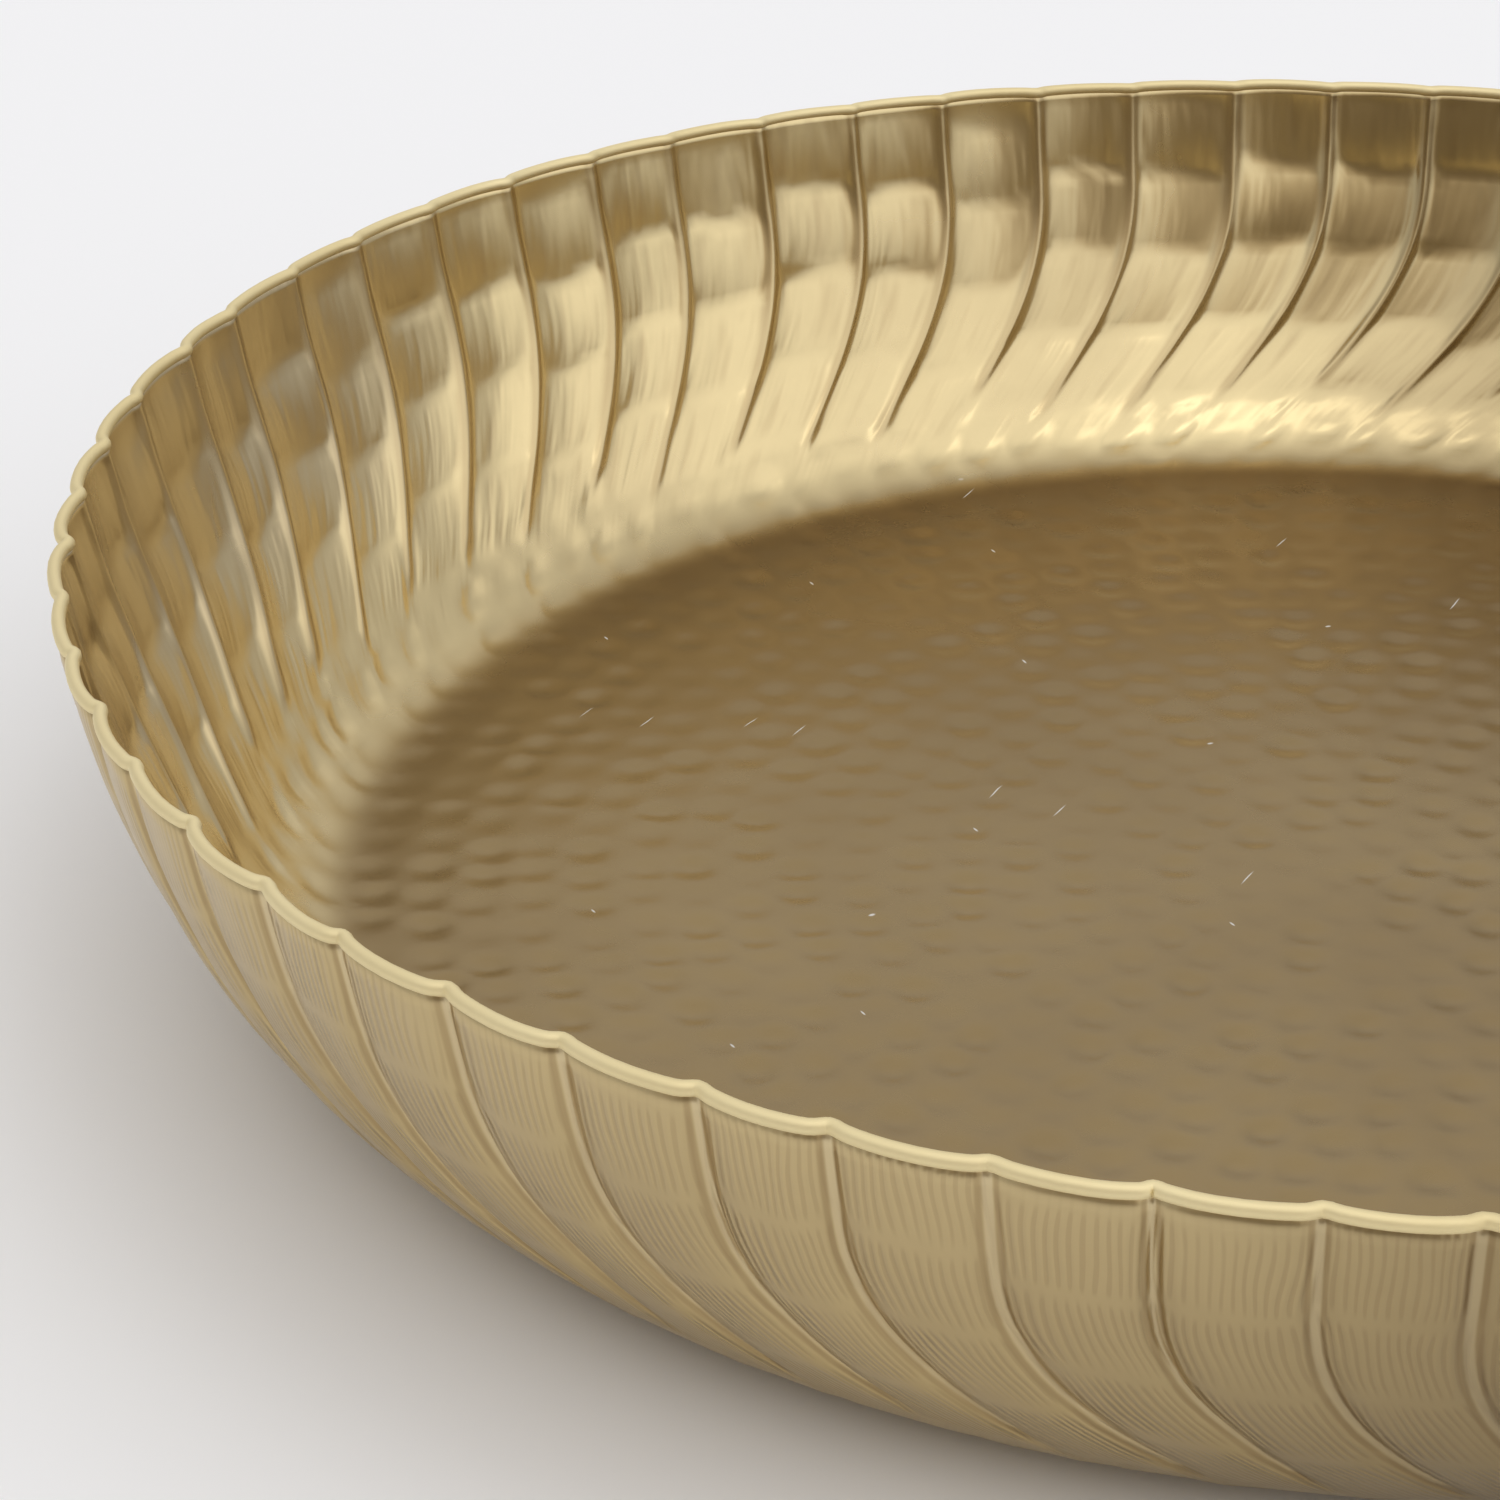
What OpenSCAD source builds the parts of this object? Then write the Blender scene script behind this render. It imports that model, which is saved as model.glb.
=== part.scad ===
// Round tray raised from one sheet of brass. The wall is pressed into narrow flutes that run
// straight down from the rim and then swing sideways towards the base. A grooved brass bead sits
// on the edge of the sheet, and felt pads under the base keep it off the table.
// Origin: centre of the tray, on the surface that it stands on. +Z up, millimetres.

/* [Tray] */
// Diameter over the bead, across the fullest part of the flutes
rim_d = 400; // [360:5:520]
// Height of the brass, from the underside of the base to the top of the bead
dish_h = 64.5; // [45:0.5:90]
// Diameter of the flat base, where the wall starts to rise
base_d = 312; // [240:2:340]
// Thickness of the sheet
sheet_t = 1.2; // [0.8:0.1:2]

/* [Wall] */
// Lean of the wall out from upright at the rim, in degrees
rim_lean = 4; // [0:1:15]
// Length over which the top of the wall keeps that lean before it turns in
rim_pull = 15; // [5:1:25]
// Length over which the foot of the wall stays close to the flat of the base
base_pull = 26; // [10:1:30]

/* [Flutes] */
// Number of flutes around the wall
flute_count = 66; // [24:1:80]
// Depth of the groove along each crease between two flutes
crease_depth = 0.5; // [0.2:0.1:1]
// Width of that groove at the rim
crease_w = 2.6; // [1.5:0.1:4]
// How far the middle of a flute swells out beyond its creases
flute_swell = 0.6; // [0:0.1:1.5]
// Height of the feet of the creases above the underside of the base
crease_foot = 8; // [4:0.5:15]
// Height over which the creases deepen from their feet
crease_run_in = 6; // [2:0.5:15]
// Length of the straight part of a crease below the rim
crease_straight = 16; // [5:1:25]
// Angle that a crease swings sideways between its straight part and its foot, in degrees
swing = 7; // [0:0.5:15]
// Angle of the first crease from +X, in degrees
first_crease = 89.3; // [0:0.1:360]

/* [Rim bead] */
// Thickness of each cheek of the bead, beside the sheet
bead_cheek = 0.3; // [0.2:0.05:1]
// Height of the bead above the edge of the sheet
bead_crown = 0.9; // [0.6:0.1:2]
// Depth to which the bead's groove takes in the edge of the sheet
bead_seat = 1.1; // [0.6:0.1:2]
// Braze-filled clearance between the sheet and each cheek of the groove
braze_gap = 0.1; // [0.05:0.01:0.2]

/* [Felt pads] */
// Diameter of a pad
pad_d = 18; // [10:1:30]
// Thickness of a pad
pad_t = 1.5; // [1:0.1:4]
// Distance from the edge of the flat base to the outside of a pad
pad_inset = 8; // [2:1:30]

/* [Hidden] */

pad_count = 4;
pad_circle_r = base_d / 2 - pad_inset - pad_d / 2;

// How sharply the creases curve as they swing
swing_power = 2.3;

// Rings of points down each skin of the wall, from the lip (0) to the edge of the base (1). The
// ring just under the bead keeps the sheet straight for as far as the bead reaches down it.
wall_rows = 8;
under_bead = 1.1 * bead_seat / (3 * rim_pull);
rings_down = concat([0, under_bead], [for (row = [1:wall_rows]) row / wall_rows]);

// The bead is as wide as the sheet, the braze on both sides of it and the two cheeks
bead_w = sheet_t + 2 * (braze_gap + bead_cheek);

// Ends and pulls of the wall's outline, each as [radius, height], on the outside of the sheet
lip_r = rim_d / 2 - braze_gap - bead_cheek;
lip_z = pad_t + dish_h - bead_crown;
lip = [lip_r, lip_z];
lip_handle = lip - rim_pull * [sin(rim_lean), cos(rim_lean)];
base_edge = [base_d / 2, pad_t];
base_handle = base_edge + [base_pull, 0];

// Columns of points across one flute, as shares of its pitch, with the crease at 0
pitch = PI * rim_d / flute_count;
groove_share = crease_w / 2 / pitch;
flute_columns = [0, groove_share, 0.5, 1 - groove_share];
column_count = flute_count * len(flute_columns);

// Point on the outside of the wall at t, from the lip (0) to the edge of the base (1)
function wall_point(t) =
    pow(1 - t, 3) * lip
    + 3 * pow(1 - t, 2) * t * lip_handle
    + 3 * (1 - t) * t * t * base_handle
    + pow(t, 3) * base_edge;

// Unit direction down the wall at t
function wall_down(t) =
    let (d = pow(1 - t, 2) * (lip_handle - lip)
        + 2 * (1 - t) * t * (base_handle - lip_handle)
        + t * t * (base_edge - base_handle))
    d / norm(d);

// A direction in the outline turned a quarter turn, from down the wall to out of the dish
function turned_out(d) = [-d.y, d.x];

// Share of a column's position across its own flute, and the distance to the nearest crease
function share(column) = flute_columns[column % len(flute_columns)];
function crease_gap(column) = min(share(column), 1 - share(column));

// How fully the creases are pressed at a height above the underside of the base: 0 to 1
function pressed(height) =
    let (x = min(1, max(0, (height - crease_foot) / crease_run_in)))
    x * x * (3 - 2 * x);

// How far a column is pressed in, at a height above the underside of the base
function press_depth(column, height) =
    let (groove = crease_depth * max(0, 1 - crease_gap(column) / groove_share))
    let (swell = flute_swell * pow(1 - 2 * crease_gap(column), 2))
    pressed(height) * (groove + swell);

// Angle of a column at a distance below the lip
function column_angle(column, drop) =
    let (run = lip_z - pad_t - crease_foot - crease_straight)
    let (x = max(0, drop - crease_straight) / run)
    let (flute = floor(column / len(flute_columns)))
    first_crease + (flute + share(column)) * 360 / flute_count + swing * pow(x, swing_power);

// A point in space from an angle and a [radius, height] pair
function around(angle, p) = [p.x * cos(angle), p.x * sin(angle), p.y];

// Point of a skin of the dish: depth 0 is the outside of the sheet, sheet_t the inside
function dish_point(column, t, depth) =
    let (p = wall_point(t))
    let (inward = press_depth(column, p.y - pad_t) + depth)
    around(column_angle(column, lip_z - p.y), p - inward * turned_out(wall_down(t)));

// Two triangles between rings a and b of a closed tube of points, at one column
function band(a, b, column, n) =
    let (next = (column + 1) % n)
    [
        [a * n + column, b * n + column, b * n + next],
        [a * n + column, b * n + next, a * n + next]
    ];

// All the triangles between rings a and b
function ring_faces(a, b, n) = [for (column = [0:n - 1]) each band(a, b, column, n)];

// The sheet: the inside from the floor up to the lip, over the edge, and down the outside
module dish() {
    outer = [for (t = rings_down) [t, 0]];
    inner = [for (i = [len(rings_down) - 1:-1:0]) [rings_down[i], sheet_t]];
    rings = concat(inner, outer);
    last = len(rings) - 1;
    points = [for (ring = rings) for (column = [0:column_count - 1])
        dish_point(column, ring[0], ring[1])];
    skins = [for (ring = [0:last - 1]) each ring_faces(ring, ring + 1, column_count)];
    floor_face = [for (column = [0:column_count - 1]) column];
    base_face = [for (column = [column_count - 1:-1:0]) last * column_count + column];
    color([0.62, 0.52, 0.33])
        polyhedron(points, concat(skins, [floor_face, base_face]), convexity = 10);
}

// Outline of the bead, as [out, up] from the middle of the sheet's edge: the groove that takes
// the sheet, the two cheeks and the rounded crown
function bead_outline() =
    let (w = bead_w / 2)
    let (g = sheet_t / 2 + braze_gap)
    let (crown = [for (a = [0:45:180]) [w * cos(a), bead_crown * sin(a)]])
    concat([[g, 0], [g, -bead_seat], [w, -bead_seat]], crown, [[-w, -bead_seat], [-g, -bead_seat], [-g, 0]]);

// The bead follows the scalloped edge of the sheet all the way round, in line with the straight
// strip of sheet that it takes in
module rim_bead() {
    outline = bead_outline();
    strip = wall_point(under_bead) - lip;
    down = strip / norm(strip);
    out = turned_out(down);
    points = [for (p = outline) for (column = [0:column_count - 1])
        let (inward = press_depth(column, lip_z - pad_t) + sheet_t / 2)
        around(column_angle(column, 0), lip + (p.x - inward) * out - p.y * down)];
    faces = [for (i = [0:len(outline) - 1])
        each ring_faces((i + 1) % len(outline), i, column_count)];
    color([0.88, 0.81, 0.62])
        polyhedron(points, faces, convexity = 10);
}

// Round felt pad glued under the base
module felt_pad(number) {
    color([0.20, 0.17, 0.14])
        rotate([0, 0, (number - 0.5) * 360 / pad_count])
            translate([pad_circle_r, 0, 0])
                cylinder(d = pad_d, h = pad_t, $fn = 48);
}

dish();
rim_bead();
felt_pad(1);  // felt_pad_1
felt_pad(2);  // felt_pad_2
felt_pad(3);  // felt_pad_3
felt_pad(4);  // felt_pad_4
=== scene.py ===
import math

import bpy
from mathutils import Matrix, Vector


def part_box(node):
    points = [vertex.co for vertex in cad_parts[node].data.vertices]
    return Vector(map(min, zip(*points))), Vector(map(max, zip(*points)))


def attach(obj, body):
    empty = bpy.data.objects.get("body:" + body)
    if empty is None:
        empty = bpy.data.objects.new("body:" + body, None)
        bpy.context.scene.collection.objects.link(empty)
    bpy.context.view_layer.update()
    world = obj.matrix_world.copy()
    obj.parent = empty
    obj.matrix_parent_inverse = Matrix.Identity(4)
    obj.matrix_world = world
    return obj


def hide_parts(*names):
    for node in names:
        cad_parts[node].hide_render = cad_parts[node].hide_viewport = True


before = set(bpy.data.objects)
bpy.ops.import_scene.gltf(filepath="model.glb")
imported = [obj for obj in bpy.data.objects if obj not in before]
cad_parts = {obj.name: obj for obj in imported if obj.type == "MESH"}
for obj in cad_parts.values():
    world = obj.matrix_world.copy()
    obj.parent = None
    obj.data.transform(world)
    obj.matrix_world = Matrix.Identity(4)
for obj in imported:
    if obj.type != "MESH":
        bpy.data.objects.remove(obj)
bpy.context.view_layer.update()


# ---------------------------------------------------------------------------------------------
# Dish. One round blank of brass sheet, raised by hand into a shallow dish: the floor is hammered
# from the middle outwards, the wall is pressed into narrow flutes between chased creases, and
# each flute is planished in rows on the way down.
# ---------------------------------------------------------------------------------------------
MM = 0.001
dish_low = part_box("dish")[0]
bead_low, bead_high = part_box("rim_bead")

sheet = 1.2 * MM              # thickness of the sheet
bead_overhang = 0.4 * MM      # braze and bead beside the sheet at the lip
bead_crown = 0.9 * MM         # bead above the edge of the sheet
tray_height = 66 * MM         # from the table to the top of the bead
base_radius = 156 * MM        # flat base, where the wall starts to rise
underside = dish_low.z        # the base hangs this far above the table, on its pads
lip_radius = (bead_high.x - bead_low.x) / 2 - bead_overhang
lip_height = tray_height - bead_crown
rim_lean = math.radians(4)
rim_pull = 15 * MM
base_pull = 26 * MM
flutes = 66
first_crease = math.radians(89.3)
GEOMETRY, FLOAT, INTEGER, COLOUR = (
    "NodeSocketGeometry", "NodeSocketFloat", "NodeSocketInt", "NodeSocketColor")


def feed(tree, slot, value):
    """Links a field or a socket to a node's input, or sets the input to a plain value."""
    if isinstance(value, Field):
        value = value.socket
    if isinstance(value, bpy.types.NodeSocket):
        tree.links.new(value, slot)
    else:
        slot.default_value = value


def add_node(tree, kind, settings=(), **inputs):
    """One node with its settings, and its inputs fed by their labels."""
    made = tree.nodes.new(kind)
    for name, value in dict(settings).items():
        setattr(made, name, value)
    for label, value in inputs.items():
        feed(tree, made.inputs[label.replace("_", " ")], value)
    return made


class Field:
    """A value that changes over the metal, held as a node's output, so that sums read as sums."""

    def __init__(self, tree, socket):
        self.tree = tree
        self.socket = socket

    def math(self, operation, *others):
        """The result of one Math node that has this value first."""
        made = add_node(self.tree, "ShaderNodeMath", {"operation": operation})
        for slot, value in zip(made.inputs, (self, *others)):
            feed(self.tree, slot, value)
        return Field(self.tree, made.outputs[0])

    def __add__(self, other):
        return self.math("ADD", other)

    def __sub__(self, other):
        return self.math("SUBTRACT", other)

    def __mul__(self, other):
        return self.math("MULTIPLY", other)

    def __truediv__(self, other):
        return self.math("DIVIDE", other)

    def __pow__(self, other):
        return self.math("POWER", other)

    __radd__ = __add__
    __rmul__ = __mul__

    def __rsub__(self, other):
        return self * -1.0 + other

    def least(self, other):
        return self.math("MINIMUM", other)

    def most(self, other):
        return self.math("MAXIMUM", other)

    def smooth_step(self, start, end):
        """0 below start, 1 above end and a smooth rise between them."""
        made = add_node(self.tree, "ShaderNodeMapRange", {"interpolation_type": "SMOOTHSTEP"},
                        Value=self, From_Min=start, From_Max=end)
        return Field(self.tree, made.outputs["Result"])


def split_vector(tree, socket):
    """The three fields of a vector."""
    made = add_node(tree, "ShaderNodeSeparateXYZ", Vector=socket)
    return [Field(tree, part) for part in made.outputs]


def vector(tree, x, y, z):
    """A vector from three fields or numbers."""
    return add_node(tree, "ShaderNodeCombineXYZ", X=x, Y=y, Z=z).outputs[0]


def chance(tree, low, high, number, seed):
    """A random value between low and high, the same wherever the whole number is the same."""
    made = add_node(tree, "FunctionNodeRandomValue", {"data_type": "FLOAT"})
    feed(tree, made.inputs[2], low)
    feed(tree, made.inputs[3], high)
    feed(tree, made.inputs["ID"], number)
    feed(tree, made.inputs["Seed"], seed)
    return Field(tree, made.outputs[1])


def drift(tree, where, scale, detail=1.0):
    """A slow wander between about -1 and 1 along a vector."""
    made = add_node(tree, "ShaderNodeTexNoise", {"noise_dimensions": "3D"},
                    Vector=where, Scale=scale, Detail=detail)
    return Field(tree, made.outputs[0]) * 2.0 - 1.0


def new_group(name, kind, inputs, outputs):
    """An empty node group with named inputs and outputs; gives it with its two end nodes."""
    group = bpy.data.node_groups.new(name, kind)
    for label, socket_type, value in inputs:
        slot = group.interface.new_socket(name=label, in_out="INPUT", socket_type=socket_type)
        if value is not None:
            slot.default_value = value
    for label, socket_type in outputs:
        group.interface.new_socket(name=label, in_out="OUTPUT", socket_type=socket_type)
    return group, group.nodes.new("NodeGroupInput"), group.nodes.new("NodeGroupOutput")


def build_raising():
    """The group that raises a flat blank into the dish. On the blank, the distance from the middle
    is the distance along the metal, and the height is the depth into the sheet from outside."""
    g, given, result = new_group("raise_sheet", "GeometryNodeTree", [
        ("Blank", GEOMETRY, None),
        ("Base Radius", FLOAT, base_radius),
        ("Underside", FLOAT, underside),
        ("Lip Radius", FLOAT, lip_radius),
        ("Lip Height", FLOAT, lip_height),
        ("Rim Lean", FLOAT, rim_lean),
        ("Rim Pull", FLOAT, rim_pull),
        ("Base Pull", FLOAT, base_pull),
        ("Sheet", FLOAT, sheet),
        ("Flutes", FLOAT, flutes),
        ("First Crease", FLOAT, first_crease),
        ("Crease Wander", FLOAT, math.radians(1.0)),
        ("Groove Depth", FLOAT, 0.70 * MM),
        ("Groove Half Width", FLOAT, 2.3 * MM),
        ("Flute Swell", FLOAT, 1.15 * MM),
        ("Flute Lap", FLOAT, 0.5 * MM),
        ("Crease Foot", FLOAT, 8 * MM),
        ("Run In", FLOAT, 5 * MM),
        ("Straight", FLOAT, 16 * MM),
        ("Swing", FLOAT, math.radians(7)),
        ("Swing Power", FLOAT, 2.3),
        ("Row Length", FLOAT, 15 * MM),
        ("Row Pillow", FLOAT, 0.55 * MM),
        ("Row Arch", FLOAT, 3.5 * MM),
        ("Row Tilt", FLOAT, 0.5 * MM),
        ("Blow Pitch", FLOAT, 9.4 * MM),
        ("Blow Rows", FLOAT, 8.4 * MM),
        ("Blow Radius", FLOAT, 4.0 * MM),
        ("Blow Depth", FLOAT, 0.42 * MM),
        ("Blow Reach", FLOAT, 30 * MM),
        ("Rim Wave", FLOAT, 0.5 * MM),
        ("Rim Rise", FLOAT, 1.6 * MM),
        ("Rim Rise Angle", FLOAT, math.radians(146)),
        ("Seed", INTEGER, 7),
    ], [("Dish", GEOMETRY)])

    def size(label):
        return Field(g, given.outputs[label])

    seed, base = given.outputs["Seed"], size("Base Radius")
    spot = add_node(g, "GeometryNodeInputPosition").outputs[0]
    x, y, depth = split_vector(g, spot)
    reach = (x * x + y * y).math("SQRT")
    angle = y.math("ARCTAN2", x)
    on_circle = vector(g, angle.math("COSINE"), angle.math("SINE"), 0.0)

    # The outline of the wall, from the edge of the base up to the lip, as a curve in X and Z
    lean, pull = size("Rim Lean"), size("Rim Pull")
    outline = add_node(
        g, "GeometryNodeCurvePrimitiveBezierSegment", {"mode": "POSITION"}, Resolution=160,
        Start=vector(g, base, 0.0, size("Underside")),
        Start_Handle=vector(g, base + size("Base Pull"), 0.0, size("Underside")),
        End_Handle=vector(g, size("Lip Radius") - pull * lean.math("SINE"), 0.0,
                          size("Lip Height") - pull * lean.math("COSINE")),
        End=vector(g, size("Lip Radius"), 0.0, size("Lip Height"))).outputs[0]
    climb = (reach - base).most(0.0)
    on_wall = add_node(g, "GeometryNodeSampleCurve", {"mode": "LENGTH"}, Curves=outline)
    feed(g, on_wall.inputs["Length"], climb)
    wall_r, _, height = split_vector(g, on_wall.outputs["Position"])
    along_r, _, along_z = split_vector(g, on_wall.outputs["Tangent"])
    radius = wall_r + (reach - base).least(0.0)
    whole_wall = Field(g, add_node(g, "GeometryNodeCurveLength", Curve=outline).outputs[0])
    run = whole_wall - climb
    inside = depth / size("Sheet")

    # Which flute, how far across it, and the distance to the nearest crease
    pitch = 2 * math.pi / flutes
    turn = ((angle - size("First Crease")) / pitch).math("FLOORED_MODULO", size("Flutes"))
    across = turn.math("FRACT")
    near = across.least(1.0 - across)
    flute = turn.math("FLOOR")
    crease = (turn + 0.5).math("FLOOR").math("FLOORED_MODULO", size("Flutes"))
    from_crease = near * pitch * radius

    # The creases run straight down from the rim and then swing sideways to their feet
    drop = size("Lip Height") - height
    swing_run = size("Lip Height") - size("Underside") - size("Crease Foot") - size("Straight")
    swung = ((drop - size("Straight")).most(0.0) / swing_run) ** size("Swing Power")
    wander = drift(g, on_circle, 9.0) * size("Crease Wander")
    new_angle = angle + swung * size("Swing") + wander

    # How deep the crease and the sides of the flute are pressed in
    half_width = size("Groove Half Width")
    rise = height - size("Underside")
    foot = size("Crease Foot") + chance(g, -2.5 * MM, 2.5 * MM, crease, seed)
    pressed = rise.smooth_step(foot, foot + size("Run In"))
    creased = 1.0 - from_crease.smooth_step(half_width * 0.15, half_width)
    groove = creased * size("Groove Depth") * chance(g, 0.7, 1.15, crease, seed)
    groove = groove * (run.smooth_step(0.0, 6 * MM) * 0.5 + 0.5)
    side = 1.0 - near * 2.0
    fluted = rise.smooth_step(foot, foot + size("Run In") * 3.0)
    swell = side * side * chance(g, 0.6, 1.3, crease, 24) - 0.35
    swell = swell * size("Flute Swell") * fluted
    lap = (0.5 - across) * near.smooth_step(0.0, 0.07) * size("Flute Lap") * fluted

    # Rows of planishing down each flute leave shallow pillows with sharp valleys between them
    middle = near * (1.0 - near) * 4.0
    arch = middle * chance(g, -0.5, 1.0, flute, seed) * size("Row Arch")
    shift = chance(g, -3.5 * MM, 2.0 * MM, flute, 21)
    row = ((run - arch + shift) / size("Row Length")).most(0.04)
    beyond = row.math("FRACT") * 2.0 - 1.0
    row_number = row.math("FLOOR") + flute * 8.0
    pillow = (1.0 - beyond * beyond) * size("Row Pillow") * chance(g, 0.4, 1.3, row_number, seed)
    pillow = pillow + (across - 0.5) * size("Row Tilt") * chance(g, -1.0, 1.0, row_number, 22)
    pillow = pillow + beyond * size("Row Tilt") * chance(g, -0.4, 0.4, row_number, 23)
    pillow = pillow * rise.smooth_step(size("Crease Foot") * 0.6, size("Crease Foot") * 1.8)
    pillow = pillow * (inside * 0.85 + 0.15) * near.smooth_step(0.04, 0.16)

    # Hammer blows follow a spiral from the middle of the floor to a little way up the wall
    far = base + size("Blow Reach")
    blow_area = size("Blow Pitch") * size("Blow Rows")
    count = far * far * math.pi / blow_area
    number = Field(g, add_node(g, "GeometryNodeInputIndex").outputs[0])
    spiral = (number * size("Blow Pitch") * 4 * math.pi / size("Blow Rows")).math("SQRT")
    spiral_r = spiral * size("Blow Rows") / (2 * math.pi)
    spiral_r = spiral_r + chance(g, -1.0 * MM, 1.0 * MM, number, 11)
    spiral_a = spiral + chance(g, -1.2 * MM, 1.2 * MM, number, 12) / spiral_r.most(4 * MM)
    blow_spots = add_node(g, "GeometryNodePoints")
    feed(g, blow_spots.inputs["Count"], count)
    feed(g, blow_spots.inputs["Position"],
         vector(g, spiral_r * spiral_a.math("COSINE"), spiral_r * spiral_a.math("SINE"), 0.0))
    on_blank = vector(g, x, y, 0.0)
    nearest = add_node(g, "GeometryNodeProximity", {"target_element": "POINTS"})
    feed(g, nearest.inputs[0], blow_spots.outputs[0])
    feed(g, nearest.inputs["Sample Position"], on_blank)
    gap = Field(g, nearest.outputs["Distance"]) / size("Blow Radius")
    which = add_node(g, "GeometryNodeSampleNearest")
    feed(g, which.inputs[0], blow_spots.outputs[0])
    feed(g, which.inputs["Sample Position"], on_blank)
    hollow = (1.0 - gap * gap).most(0.0) ** 1.3 * chance(g, 0.35, 1.3, which.outputs[0], 13)
    harder = reach.smooth_step(base + 6 * MM, base + 14 * MM) * 0.6
    lighter = reach.smooth_step(base - 10 * MM, base) * 0.35
    blow = hollow * size("Blow Depth") * (1.0 - lighter + harder) * (inside * 0.6 + 0.4)
    blow = blow * (1.0 - reach.smooth_step(far - 14 * MM, far))

    # Press the sheet in along its own direction, turn it into place, and pull the rim up a little
    # at one side
    inward = depth + (groove * pressed + swell + lap + pillow) - blow
    placed_r = radius - inward * along_z
    pulled = (angle - size("Rim Rise Angle")).math("COSINE").most(0.0) ** 5.0 * size("Rim Rise")
    wave = drift(g, on_circle, 5.0) * size("Rim Wave") + pulled
    placed_z = height + inward * along_r + wave * (1.0 - run.smooth_step(0.0, 36 * MM))
    placed = vector(g, placed_r * new_angle.math("COSINE"), placed_r * new_angle.math("SINE"),
                    placed_z)

    # What the finish needs to know, written on the flat blank before it is raised: the direction
    # before the swing, the side of the sheet, the run from the lip, the row and the crease
    shape = given.outputs["Blank"]
    unswung = vector(g, angle.math("COSINE"), angle.math("SINE"), inside)
    for label, kind, value in (("strip", "FLOAT_VECTOR", unswung), ("down_wall", "FLOAT", run),
                               ("row", "FLOAT", row), ("crease", "FLOAT", creased * pressed)):
        kept = add_node(g, "GeometryNodeStoreNamedAttribute",
                        {"data_type": kind, "domain": "POINT"},
                        Geometry=shape, Name=label, Value=value)
        shape = kept.outputs[0]
    raised = add_node(g, "GeometryNodeSetPosition", Geometry=shape, Position=placed)
    feed(g, result.inputs[0], raised.outputs[0])
    return g


raising = build_raising()

# The blank, flat: rings of points on both faces of the sheet, closer together where there is more
# to shape, and zipped to each other by angle
flute_columns = [0.0, 0.024, 0.052, 0.085, 0.13, 0.2, 0.29, 0.42]
flute_columns = flute_columns + [1.0 - share for share in reversed(flute_columns[1:])]
outside_columns = [0.0, 0.022, 0.048, 0.08, 0.125, 0.3, 0.7, 0.875, 0.92, 0.952, 0.978]
floor_rings, wall_rings, outside_rings, under_rings = 100, 48, 24, 30


def wall_length():
    """Length of the wall's outline, from the edge of the base to the lip."""
    start = Vector((base_radius, underside))
    end = Vector((lip_radius, lip_height))
    handles = (start + Vector((base_pull, 0)),
               end - rim_pull * Vector((math.sin(rim_lean), math.cos(rim_lean))))
    steps = 400
    line = [(1 - t) ** 3 * start + 3 * (1 - t) ** 2 * t * handles[0]
            + 3 * (1 - t) * t * t * handles[1] + t ** 3 * end
            for t in (k / steps for k in range(steps + 1))]
    return sum((b - a).length for a, b in zip(line, line[1:]))


def fluted_ring(columns):
    """Angles of the points of a ring on the wall, lined up with the flutes."""
    pitch = 2 * math.pi / flutes
    return [first_crease + (flute + share) * pitch for flute in range(flutes) for share in columns]


def even_ring(count):
    """Angles of evenly spaced points."""
    return [first_crease + 2 * math.pi * k / count for k in range(count)]


def zip_rings(first_in, angles_in, first_out, angles_out):
    """Triangles between two closed rings of points, which may differ in number. Each ring starts
    near the first crease and gives its first point's number and its points' rising angles."""
    turn = 2 * math.pi
    ahead_in = angles_in[1:] + [angles_in[0] + turn]
    ahead_out = angles_out[1:] + [angles_out[0] + turn]
    faces, i, j = [], 0, 0
    while i < len(angles_in) or j < len(angles_out):
        near = first_in + i % len(angles_in)
        far = first_out + j % len(angles_out)
        move_in = j == len(angles_out) or (i < len(angles_in) and ahead_in[i] < ahead_out[j])
        if move_in:
            i += 1
            next_one = first_in + i % len(angles_in)
        else:
            j += 1
            next_one = first_out + j % len(angles_out)
        if len({near, far, next_one}) == 3:
            faces.append((near, far, next_one))
    return faces


def cut_blank():
    """The flat blank as a closed mesh: from the middle of its inside out to the lip, over the
    edge, and back across its outside to the middle."""
    length = wall_length()
    rings = [(0.0, sheet, [0.0])]
    for k in range(1, floor_rings + 1):
        rings.append((base_radius * k / floor_rings, sheet, even_ring(6 * k)))
    for k in range(1, wall_rings + 1):
        rings.append((base_radius + length * k / wall_rings, sheet, fluted_ring(flute_columns)))
    for k in range(outside_rings, 0, -1):
        rings.append((base_radius + length * k / outside_rings, 0.0, fluted_ring(outside_columns)))
    for k in range(under_rings, 0, -1):
        rings.append((base_radius * k / under_rings, 0.0, even_ring(6 * k)))
    rings.append((0.0, 0.0, [0.0]))

    points, faces, first, angles = [], [], 0, None
    for reach, depth, ring in rings:
        here = len(points)
        points += [(reach * math.cos(a), reach * math.sin(a), depth) for a in ring]
        if angles:
            faces += zip_rings(first, angles, here, ring)
        first, angles = here, ring
    mesh = bpy.data.meshes.new("blank")
    mesh.from_pydata(points, [], faces)
    return mesh


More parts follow.
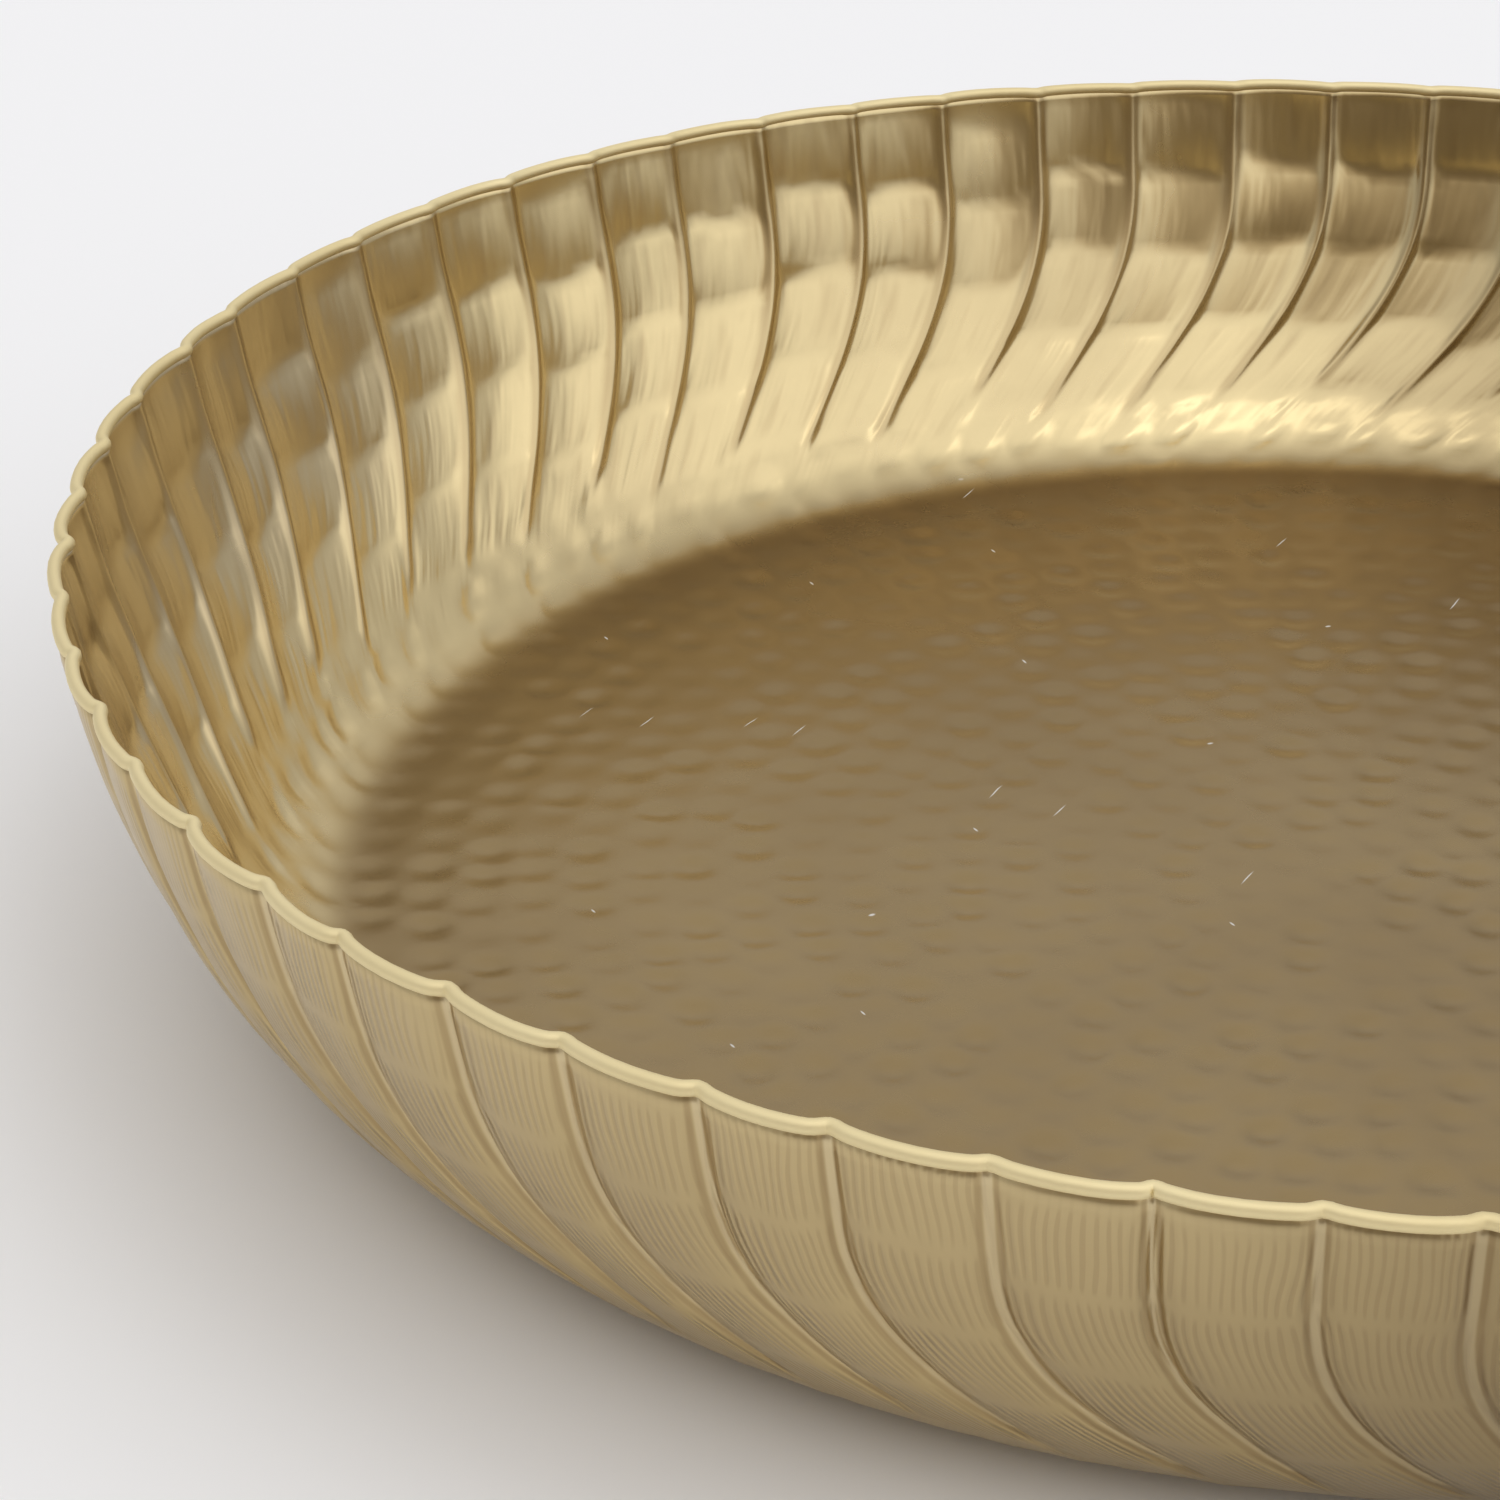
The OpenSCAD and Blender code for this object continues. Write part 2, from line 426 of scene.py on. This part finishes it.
def worked(name, mesh, build_tree, settings):
    """A plain mesh object that stands for what a node tree, set as told, makes of a mesh."""
    piece = bpy.data.objects.new(name, mesh)
    bpy.context.collection.objects.link(piece)
    tool = piece.modifiers.new(name, "NODES")
    tool.node_group = build_tree()
    for socket in tool.node_group.interface.items_tree:
        if socket.name in settings:
            tool[socket.identifier] = settings[socket.name]
    ready = piece.evaluated_get(bpy.context.evaluated_depsgraph_get())
    finished = bpy.data.meshes.new_from_object(ready)
    piece.modifiers.remove(tool)
    piece.data = finished
    finished.name = name
    bpy.data.meshes.remove(mesh)
    return piece


def build_dish_tree():
    """Blank in, raised dish out, in its brass."""
    g, given, result = new_group("dish_work", "GeometryNodeTree", [
        ("Blank", GEOMETRY, None),
        ("Blow Depth", FLOAT, 0.3 * MM),
        ("Seed", INTEGER, 1),
    ], [("Dish", GEOMETRY)])
    press = add_node(g, "GeometryNodeGroup", {"node_tree": raising}, Blank=given.outputs["Blank"])
    feed(g, press.inputs["Blow Depth"], given.outputs["Blow Depth"])
    feed(g, press.inputs["Seed"], given.outputs["Seed"])
    smooth = add_node(g, "GeometryNodeSetShadeSmooth", Geometry=press.outputs[0])
    real = add_node(g, "GeometryNodeRealizeInstances", Geometry=smooth.outputs[0])
    metal = add_node(g, "GeometryNodeSetMaterial", Geometry=real.outputs[0],
                     Material=hammered_brass)
    feed(g, result.inputs[0], metal.outputs[0])
    return g


# The brass of the dish: lacquered satin metal, duller and browner in patches, with painted shade
# and highlight along the creases, and painted shade in the soft upright marks of a cross-peen
# hammer on the wall
def shader_group(name, inputs, outputs):
    """An empty shader group; gives it with its end nodes."""
    return new_group(name, "ShaderNodeTree", inputs, outputs)


def build_patina():
    """Cloudy tone for old lacquered brass: the colour, and how dull it is from 0 to 1."""
    g, given, result = shader_group("brass_patina", [
        ("Bright", COLOUR, (0.73, 0.595, 0.325, 1)),
        ("Dull", COLOUR, (0.61, 0.49, 0.27, 1)),
        ("Cloud Scale", FLOAT, 14.0),
        ("Grain Scale", FLOAT, 350.0),
    ], [("Color", COLOUR), ("Dullness", FLOAT)])
    where = add_node(g, "ShaderNodeTexCoord").outputs["Object"]
    cloud = drift(g, where, given.outputs["Cloud Scale"], 4.0)
    grain = drift(g, where, given.outputs["Grain Scale"], 1.0)
    dull = (cloud * 0.9 + grain * 0.08 + 0.5).most(0.0).least(1.0)
    tone = add_node(g, "ShaderNodeMix", {"data_type": "RGBA"})
    feed(g, tone.inputs["Factor"], dull)
    feed(g, tone.inputs[6], given.outputs["Bright"])
    feed(g, tone.inputs[7], given.outputs["Dull"])
    feed(g, result.inputs["Color"], tone.outputs[2])
    feed(g, result.inputs["Dullness"], dull)
    return g


patina = build_patina()


def new_material(name, roughness, metallic):
    """An empty node material with its main shader and the shader's plain numbers."""
    material = bpy.data.materials.new(name)
    material.use_nodes = True
    tree = material.node_tree
    shader = tree.nodes["Principled BSDF"]
    shader.inputs["Roughness"].default_value = roughness
    shader.inputs["Metallic"].default_value = metallic
    return material, tree, shader


def build_dust():
    """Specks of dust and hair scratches, as a mask from 0 to 1."""
    g, _, result = shader_group("dust_and_scratches", [], [("Mask", FLOAT)])
    where = add_node(g, "ShaderNodeTexCoord").outputs["Object"]
    x, y, _ = split_vector(g, where)
    mask = None
    for turned, long_way, short_way, size in ((0.5, 26.0, 50.0, 0.018), (2.2, 22.0, 90.0, 0.02),
                                              (1.2, 9.0, 160.0, 0.025)):
        along = x * math.cos(turned) + y * math.sin(turned)
        beside = y * math.cos(turned) - x * math.sin(turned)
        spots = add_node(g, "ShaderNodeTexVoronoi", {"voronoi_dimensions": "2D"},
                         Vector=vector(g, along * long_way, beside * short_way, 0.0), Scale=1.0)
        speck = 1.0 - Field(g, spots.outputs["Distance"]).smooth_step(size * 0.4, size)
        picked = split_vector(g, spots.outputs["Color"])[0].smooth_step(0.86, 0.90)
        mask = speck * picked if mask is None else mask.most(speck * picked)
    feed(g, result.inputs["Mask"], mask)
    return g


def mixed(tree, amount, first, second, blend="MIX"):
    """A colour between two, by an amount."""
    made = add_node(tree, "ShaderNodeMix", {"data_type": "RGBA", "blend_type": blend})
    feed(tree, made.inputs["Factor"], amount)
    feed(tree, made.inputs[6], first)
    feed(tree, made.inputs[7], second)
    return made.outputs[2]


streaks_round = 900.0                   # radians of the streaks' wave in one radian of the dish
patches_round = 22.0                    # patches of stronger and weaker streaks in one radian
floor_tint = (0.415, 0.365, 0.31, 1)    # the floor is coloured darker and browner than the wall
# painted shade: the whole outside is coloured darker, for the dimmer table it reflects
outside_shade_tint = (0.83, 0.80, 0.77, 1)
side_shade_tint = (0.68, 0.66, 0.64, 1)       # painted shade on one side
back_shade_tint = (0.74, 0.70, 0.68, 1)       # and painted shade on the back of the floor
# painted reflection of the cool room, at the top of the wall across from the painted shade
room_reflection_brass = (0.51, 0.42, 0.27, 1)
# painted shade in the troughs of the peen marks
peen_shade_brass = (0.40, 0.29, 0.15, 1)
# painted shade and painted highlight of the creases
crease_shade_brass = (0.42, 0.31, 0.16, 1)
groove_shade_brass = (0.36, 0.25, 0.12, 1)
crease_highlight_brass = (0.80, 0.68, 0.44, 1)
dust_grey = (0.85, 0.85, 0.82, 1)


def build_hammered_brass():
    """Material of the dish."""
    material, tree, shader = new_material("hammered_brass", 0.30, 1.0)

    def kept(name, output="Fac"):
        return add_node(tree, "ShaderNodeAttribute", {"attribute_name": name}).outputs[output]

    run, row, crease = (Field(tree, kept(name)) for name in ("down_wall", "row", "crease"))
    strip_x, strip_y, inside = split_vector(tree, kept("strip", "Vector"))
    outside = 1.0 - inside

    # Upright peen marks struck in rows: wide and uneven inside, close and even outside
    spacing = 2.6 * MM / lip_radius
    uneven = drift(tree, vector(tree, strip_x / spacing, strip_y / spacing, run / (14 * MM)), 1.0)
    turn = strip_y.math("ARCTAN2", strip_x)
    down = run / (18 * MM) + row.math("FLOOR") * 3.7
    slow = drift(tree, vector(tree, strip_x * patches_round, strip_y * patches_round, down), 1.0)
    even = (turn * streaks_round + slow * 7.0).math("SINE")
    even = even * (slow * 0.9 + 0.6).most(0.15).least(1.0)
    place = row.math("FRACT")
    struck = (place * (1.0 - place) * 4.0).smooth_step(0.0, 0.7)
    on_wall = 1.0 - run.smooth_step(54 * MM, 74 * MM)
    marks = (uneven * inside + even * outside) * struck * on_wall

    # Cloudy brass, darker on the floor, with painted shade over the outside and in the peen marks'
    # troughs
    tone = add_node(tree, "ShaderNodeGroup", {"node_tree": patina})
    length = wall_length()
    on_floor = run.smooth_step(length - 13 * MM, length - 1 * MM) * inside
    colour = mixed(tree, on_floor, tone.outputs["Color"], floor_tint, "MULTIPLY")
    # painted shade over the whole outside
    colour = mixed(tree, outside, colour, outside_shade_tint, "MULTIPLY")
    # painted shade in the troughs of the peen marks
    peen_shade = (marks * (inside * 0.4 - 1.0)).most(0.0).least(0.38)
    colour = mixed(tree, peen_shade, colour, peen_shade_brass)

    # Outside, each crease has a painted highlight along its middle and painted shade along both
    # flanks.
    # Inside, painted shade fills it
    flank_shade = crease.smooth_step(0.3, 0.6) * (1.0 - crease.smooth_step(0.8, 0.95)) * outside
    colour = mixed(tree, flank_shade * 0.5, colour, groove_shade_brass)
    colour = mixed(tree, crease.smooth_step(0.86, 1.0) * outside * 0.35, colour, crease_highlight_brass)
    colour = mixed(tree, crease.smooth_step(0.05, 0.7) * inside * 0.45, colour, crease_shade_brass)

    # Painted shade darkens one side of the dish, a painted reflection of the cool room greys the
    # top of the side across from it, and dust and hair scratches lie on the floor
    sideways, back, _ = split_vector(tree, add_node(tree, "ShaderNodeTexCoord").outputs["Object"])
    # painted shade over one side of the wall
    right_side_shade = sideways.smooth_step(-0.05, 0.04) * (1.0 - on_floor)
    colour = mixed(tree, right_side_shade, colour, side_shade_tint, "MULTIPLY")
    near_rim = 1.0 - run.smooth_step(20 * MM, 60 * MM)
    # painted reflection of the cool room near the rim
    painted_reflection = (strip_x * -1.0).smooth_step(0.82, 0.98) * inside * near_rim
    colour = mixed(tree, painted_reflection * 0.75, colour, room_reflection_brass)
    # painted shade darkens the back of the floor
    colour = mixed(tree, back.smooth_step(0.0, 0.15) * on_floor, colour, back_shade_tint, "MULTIPLY")
    specks = add_node(tree, "ShaderNodeGroup", {"node_tree": build_dust()})
    dust = Field(tree, specks.outputs["Mask"]) * on_floor * 0.7
    colour = mixed(tree, dust, colour, dust_grey)
    feed(tree, shader.inputs["Base Color"], colour)
    rough = Field(tree, tone.outputs["Dullness"]) * 0.08 + 0.22 + on_floor * 0.02 + outside * 0.06
    feed(tree, shader.inputs["Roughness"], rough + dust * 0.4)
    feed(tree, shader.inputs["Metallic"], 1.0 - dust)
    bump = add_node(tree, "ShaderNodeBump", Strength=1.0, Distance=0.1 * MM,
                    Height=marks * (inside * 0.4 + 0.6))
    feed(tree, shader.inputs["Normal"], bump.outputs[0])
    return material


hammered_brass = build_hammered_brass()

dish = worked("brass_dish", cut_blank(), build_dish_tree,
              {"Blow Depth": 0.48 * MM, "Seed": 7})
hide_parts("dish")
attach(dish, "root")


# ---------------------------------------------------------------------------------------------
# Rim bead. A thin brass edging with rounded corners, pressed and brazed over the lip of the
# dish, so that it follows every scallop and nips in at each crease.
# ---------------------------------------------------------------------------------------------
bead_width = sheet + 2 * bead_overhang
bead_seat = 1.1 * MM          # the lip sits this deep in the bead's groove
bead_tall = bead_crown + bead_seat


def lip_ring():
    """The middle of the sheet's edge on the blank, as a closed line."""
    angles = fluted_ring(flute_columns)
    reach = base_radius + wall_length()
    points = [(reach * math.cos(a), reach * math.sin(a), sheet / 2) for a in angles]
    count = len(points)
    mesh = bpy.data.meshes.new("lip")
    mesh.from_pydata(points, [(k, (k + 1) % count) for k in range(count)], [])
    return mesh


def build_bead_tree():
    """The lip's line in, the bead that is swept along it out."""
    g, given, result = new_group("bead_work", "GeometryNodeTree", [
        ("Lip", GEOMETRY, None),
        ("Width", FLOAT, 2 * MM),
        ("Height", FLOAT, 2 * MM),
        ("Corner", FLOAT, 0.5 * MM),
        ("Nip", FLOAT, 0.2),
    ], [("Bead", GEOMETRY)])
    line = add_node(g, "GeometryNodeGroup", {"node_tree": raising}, Blank=given.outputs["Lip"])
    curve = add_node(g, "GeometryNodeMeshToCurve", Mesh=line.outputs[0])
    upright = add_node(g, "GeometryNodeSetCurveNormal", {"mode": "Z_UP"}, Curve=curve.outputs[0])
    crease = add_node(g, "GeometryNodeInputNamedAttribute", {"data_type": "FLOAT"}, Name="crease")
    nipped = 1.0 - Field(g, crease.outputs["Attribute"]) * given.outputs["Nip"]
    scaled = add_node(g, "GeometryNodeSetCurveRadius", Curve=upright.outputs[0], Radius=nipped)
    outline = add_node(g, "GeometryNodeCurvePrimitiveQuadrilateral")
    feed(g, outline.inputs["Width"], given.outputs["Width"])
    feed(g, outline.inputs["Height"], given.outputs["Height"])
    rounded = add_node(g, "GeometryNodeFilletCurve", {"mode": "POLY"}, Curve=outline.outputs[0],
                       Count=5, Radius=given.outputs["Corner"])
    swept = add_node(g, "GeometryNodeCurveToMesh", Curve=scaled.outputs[0])
    feed(g, swept.inputs["Profile Curve"], rounded.outputs[0])
    smooth = add_node(g, "GeometryNodeSetShadeSmooth", Geometry=swept.outputs[0])
    real = add_node(g, "GeometryNodeRealizeInstances", Geometry=smooth.outputs[0])
    metal = add_node(g, "GeometryNodeSetMaterial", Geometry=real.outputs[0],
                     Material=polished_brass)
    feed(g, result.inputs[0], metal.outputs[0])
    return g


def build_polished_brass():
    """Material of the bead: the same brass, rubbed bright by hands and cloths."""
    material, tree, shader = new_material("polished_brass", 0.45, 1.0)
    tone = add_node(tree, "ShaderNodeGroup", {"node_tree": patina}, Bright=(0.88, 0.77, 0.48, 1),
                    Dull=(0.80, 0.68, 0.39, 1))
    feed(tree, shader.inputs["Base Color"], tone.outputs["Color"])
    feed(tree, shader.inputs["Roughness"], Field(tree, tone.outputs["Dullness"]) * 0.1 + 0.56)
    return material


polished_brass = build_polished_brass()
rim_bead = worked("brass_bead", lip_ring(), build_bead_tree,
                  {"Width": bead_width, "Height": bead_tall, "Corner": 0.94 * MM, "Nip": 0.28})
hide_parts("rim_bead")
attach(rim_bead, "root")


# ---------------------------------------------------------------------------------------------
# Felt pads. Four round pads of dark wool felt, punched from sheet felt and glued under the base,
# so that the brass stands clear of the table and doesn't scratch it.
# ---------------------------------------------------------------------------------------------
pad_round_over = 0.35 * MM


def build_felt():
    """Material of the pads: dark felt with short fibres and a soft sheen."""
    material, tree, shader = new_material("felt", 0.95, 0.0)
    where = add_node(tree, "ShaderNodeTexCoord").outputs["Object"]
    fibre = drift(tree, where, 2600.0, 4.0)
    tone = add_node(tree, "ShaderNodeMix", {"data_type": "RGBA"})
    feed(tree, tone.inputs["Factor"], fibre * 0.5 + 0.5)
    tone.inputs[6].default_value = (0.030, 0.024, 0.020, 1)
    tone.inputs[7].default_value = (0.085, 0.070, 0.058, 1)
    feed(tree, shader.inputs["Base Color"], tone.outputs[2])
    shader.inputs["Sheen Weight"].default_value = 0.3
    bump = add_node(tree, "ShaderNodeBump", Strength=1.0, Distance=0.2 * MM, Height=fibre)
    feed(tree, shader.inputs["Normal"], bump.outputs[0])
    return material


felt = build_felt()


def make_felt_pad(name):
    """One pad in the place of its CAD node: a disc with a softly rounded edge."""
    low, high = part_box(name)
    middle = (low + high) / 2
    radius, tall = (high.x - low.x) / 2, high.z - low.z
    inner = radius - pad_round_over
    sides, arc = 64, 4
    outline = [(0.0, 0.0)]
    for centre_z, start in ((pad_round_over, -math.pi / 2), (tall - pad_round_over, 0.0)):
        for k in range(arc + 1):
            a = start + math.pi / 2 * k / arc
            outline.append((inner + pad_round_over * math.cos(a),
                            centre_z + pad_round_over * math.sin(a)))
    outline.append((0.0, tall))
    points = [(middle.x, middle.y, low.z)]
    faces = []
    for r, z in outline[1:-1]:
        for k in range(sides):
            a = 2 * math.pi * k / sides
            points.append((middle.x + r * math.cos(a), middle.y + r * math.sin(a), low.z + z))
    points.append((middle.x, middle.y, high.z))
    last = len(points) - 1
    for k in range(sides):
        near, far = 1 + k, 1 + (k + 1) % sides
        faces.append((0, far, near))
        for ring in range(len(outline) - 3):
            a, b = near + ring * sides, far + ring * sides
            faces.append((a, b, b + sides, a + sides))
        top = (len(outline) - 3) * sides
        faces.append((near + top, far + top, last))
    mesh = bpy.data.meshes.new(name)
    mesh.from_pydata(points, [], faces)
    for face in mesh.polygons:
        face.use_smooth = True
    mesh.materials.append(felt)
    pad = bpy.data.objects.new(name.replace("felt", "wool"), mesh)
    bpy.context.collection.objects.link(pad)
    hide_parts(name)
    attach(pad, "root")


for pad_name in sorted(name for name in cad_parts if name.startswith("felt_pad")):
    make_felt_pad(pad_name)


# ---------------------------------------------------------------------------------------------
# Table, light and camera. A plain pale surface, one soft light overhead and a tent of pale light
# all round, dimmer behind the camera.
# ---------------------------------------------------------------------------------------------
def make_table():
    """A plain pale surface that the tray stands on."""
    half = 6.0    # metres, so that no edge of it comes into view
    mesh = bpy.data.meshes.new("table")
    mesh.from_pydata([(-half, -half, 0), (half, -half, 0), (half, half, 0), (-half, half, 0)], [],
                     [(0, 1, 2, 3)])
    material, _, shader = new_material("pale_table", 0.7, 0.0)
    shader.inputs["Base Color"].default_value = (0.92, 0.92, 0.92, 1)
    mesh.materials.append(material)
    table = bpy.data.objects.new("table", mesh)
    bpy.context.collection.objects.link(table)


def add_softbox(name, place, aim, width, tall, power):
    """A soft rectangular light at a place, facing a point."""
    lamp = bpy.data.lights.new(name, "AREA")
    lamp.shape = "RECTANGLE"
    lamp.size, lamp.size_y, lamp.energy = width, tall, power
    light = bpy.data.objects.new(name, lamp)
    bpy.context.collection.objects.link(light)
    light.location = place
    light.rotation_euler = (Vector(aim) - Vector(place)).to_track_quat("-Z", "Y").to_euler()


make_table()
add_softbox("overhead", (0.1, -0.1, 1.4), (0.0, 0.0, 0.0), 0.45, 0.35, 0.45)


def build_room():
    """A studio tent of soft light: palest overhead and to the front right, half as bright at the
    back, and dim and warm low down behind the camera."""
    room = bpy.data.worlds.new("room")
    room.use_nodes = True
    tree = room.node_tree
    way = add_node(tree, "ShaderNodeTexCoord").outputs["Generated"]
    x, y, z = split_vector(tree, way)

    def toward(turned, lifted, core, edge):
        """1 within the core angle of a direction, falling to 0 at the edge angle."""
        turned, lifted, core, edge = (math.radians(a) for a in (turned, lifted, core, edge))
        facing = (x * (math.cos(lifted) * math.cos(turned))
                  + y * (math.cos(lifted) * math.sin(turned)) + z * math.sin(lifted))
        return facing.smooth_step(math.cos(edge), math.cos(core))

    overhead = toward(-90, 70, 15, 52)
    window = toward(-25, 38, 18, 52) * z.smooth_step(-0.1, 0.35)
    behind_camera = toward(-90, -5, 16, 50)
    far_wall = toward(97, 40, 6, 30)
    light = (z.smooth_step(-0.1, 0.75) * 0.2 + 0.50 + far_wall * 0.30 + overhead.most(window) * 0.58
             - behind_camera * 0.36)
    background = tree.nodes["Background"]
    feed(tree, background.inputs["Strength"], light)
    feed(tree, background.inputs["Color"],
         mixed(tree, behind_camera, (1.0, 1.0, 1.02, 1), (1.0, 0.78, 0.52, 1)))
    return room


bpy.context.scene.world = build_room()
bpy.context.scene.view_settings.view_transform = "Standard"

# The camera stands over three rim radii away and looks down over the front left of the rim
rim_radius = (bead_high.x - bead_low.x) / 2
camera_data = bpy.data.cameras.new("camera")
camera_data.sensor_width = 36.0
camera_data.lens = 108.2
camera = bpy.data.objects.new("camera", camera_data)
bpy.context.collection.objects.link(camera)
distance, lift = 3.430 * rim_radius, math.radians(23.36)
camera.location = (0.0, -distance * math.cos(lift), tray_height + distance * math.sin(lift))
aim = Vector((-0.4134 * rim_radius, -0.4827 * rim_radius, tray_height))
camera.rotation_euler = (aim - camera.location).to_track_quat("-Z", "Y").to_euler()
bpy.context.scene.camera = camera
